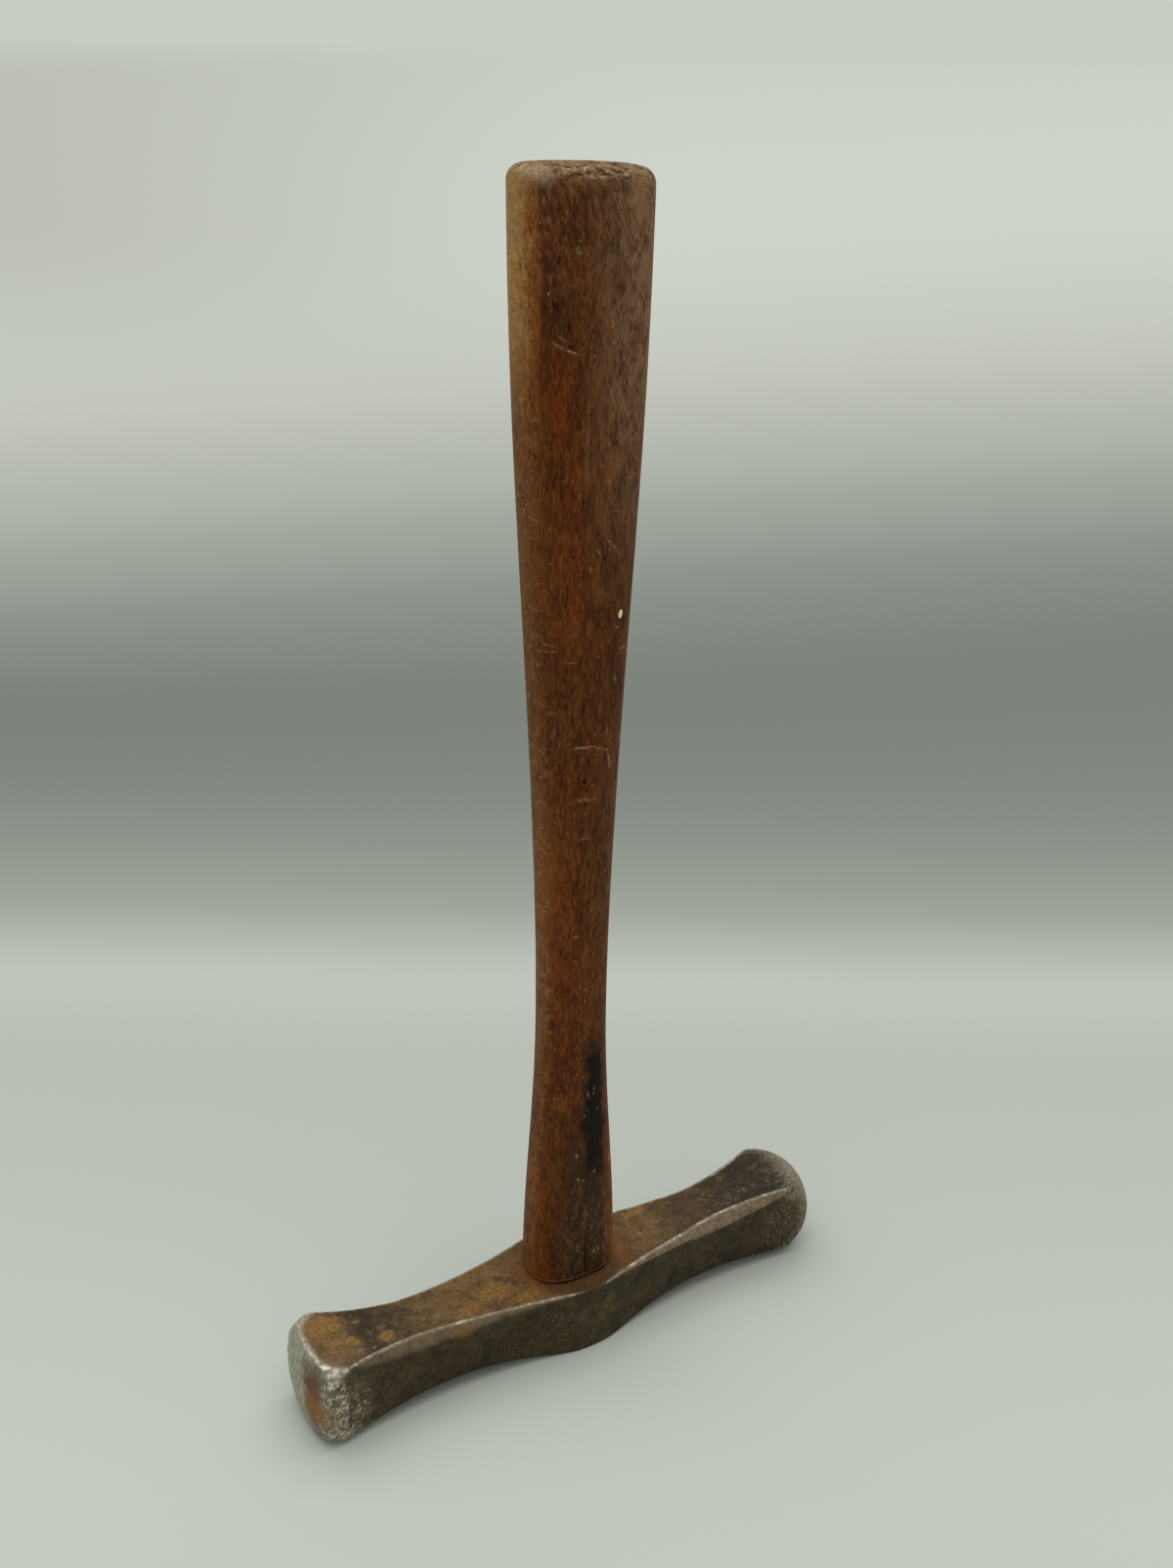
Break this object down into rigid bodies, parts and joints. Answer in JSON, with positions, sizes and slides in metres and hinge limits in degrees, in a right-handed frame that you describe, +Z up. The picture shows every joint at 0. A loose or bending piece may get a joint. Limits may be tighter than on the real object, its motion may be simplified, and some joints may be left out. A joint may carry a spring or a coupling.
{
  "type": "boilermaker hammer",
  "caption": "Double-faced forged hammer: slim arms with crowned faces at both ends, and a waisted wooden handle wedged in the eye.",
  "frame": {"origin": "middle of the eye on the crown's flat, which the hammer stands on", "axes": "+Z up the handle from the head to the grip's end, +X along the head towards the rounder face, +Y across the head"},
  "size_m": [0.1732, 0.031, 0.332],
  "materials": {
    "head_steel": "forged steel with a brown patina, rust blooms and bright worn edges",
    "handle_wood": "old dark wood, hand-polished and oil-stained",
    "wedge_wood": "raw hardwood, oil-stained",
    "wedge_steel": "plain steel, hammered end"
  },
  "bodies": {
    "root": {"head": "head_steel", "handle": "handle_wood", "wooden_wedge": "wedge_wood", "steel_wedge_left": "wedge_steel", "steel_wedge_right": "wedge_steel"}
  },
  "joints": []
}
